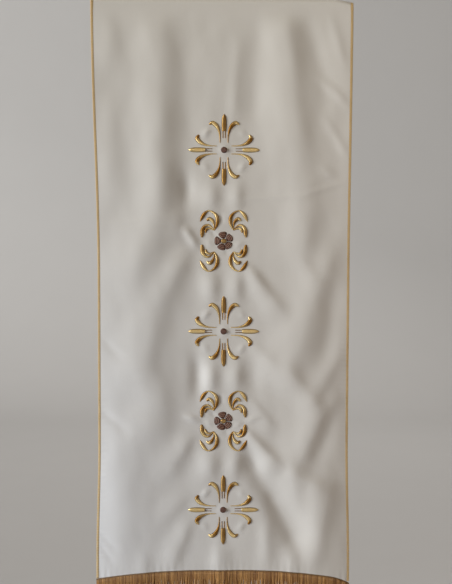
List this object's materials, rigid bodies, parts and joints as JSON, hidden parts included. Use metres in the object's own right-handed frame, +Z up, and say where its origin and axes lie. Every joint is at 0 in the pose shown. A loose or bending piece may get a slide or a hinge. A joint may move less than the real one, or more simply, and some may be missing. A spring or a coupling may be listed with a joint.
{
  "type": "lectern cover",
  "caption": "Cream cloth panel folded over an edge at its top, with gold edge cords, a hem fringe and a column of embroidered crosses and roses, hung over a lectern.",
  "frame": {"origin": "under the fold at the cloth's top edge, on its centre line, where the lectern's edge carries it", "axes": "+Z up, along the hanging length; +X across the cloth to the right as seen from the front; the embroidered front faces -Y and the flap lies back towards +Y"},
  "size_m": [0.5021, 0.2134, 1.19],
  "materials": {
    "cream_cloth": "satin",
    "gold_cord": "satin",
    "gold_thread": "gloss",
    "brown_thread": "satin",
    "bronze_fringe": "satin"
  },
  "bodies": {
    "root": {"cloth_panel": "cream_cloth", "edge_cord_left": "gold_cord", "edge_cord_right": "gold_cord", "fringe": "bronze_fringe", "cross_1_lobe_1": "gold_thread", "cross_1_lobe_2": "gold_thread", "cross_1_lobe_3": "gold_thread", "cross_1_lobe_4": "gold_thread", "cross_1_curl_1": "gold_thread", "cross_1_curl_2": "gold_thread", "cross_1_curl_3": "gold_thread", "cross_1_curl_4": "gold_thread", "cross_1_curl_5": "gold_thread", "cross_1_curl_6": "gold_thread", "cross_1_curl_7": "gold_thread", "cross_1_curl_8": "gold_thread", "cross_1_dot": "brown_thread", "cross_2_lobe_1": "gold_thread", "cross_2_lobe_2": "gold_thread", "cross_2_lobe_3": "gold_thread", "cross_2_lobe_4": "gold_thread", "cross_2_curl_1": "gold_thread", "cross_2_curl_2": "gold_thread", "cross_2_curl_3": "gold_thread", "cross_2_curl_4": "gold_thread", "cross_2_curl_5": "gold_thread", "cross_2_curl_6": "gold_thread", "cross_2_curl_7": "gold_thread", "cross_2_curl_8": "gold_thread", "cross_2_dot": "brown_thread", "cross_3_lobe_1": "gold_thread", "cross_3_lobe_2": "gold_thread", "cross_3_lobe_3": "gold_thread", "cross_3_lobe_4": "gold_thread", "cross_3_curl_1": "gold_thread", "cross_3_curl_2": "gold_thread", "cross_3_curl_3": "gold_thread", "cross_3_curl_4": "gold_thread", "cross_3_curl_5": "gold_thread", "cross_3_curl_6": "gold_thread", "cross_3_curl_7": "gold_thread", "cross_3_curl_8": "gold_thread", "cross_3_dot": "brown_thread", "rose_1_flower": "brown_thread", "rose_1_spray_1": "gold_thread", "rose_1_spray_2": "gold_thread", "rose_1_spray_3": "gold_thread", "rose_1_spray_4": "gold_thread", "rose_2_flower": "brown_thread", "rose_2_spray_1": "gold_thread", "rose_2_spray_2": "gold_thread", "rose_2_spray_3": "gold_thread", "rose_2_spray_4": "gold_thread"}
  },
  "joints": []
}
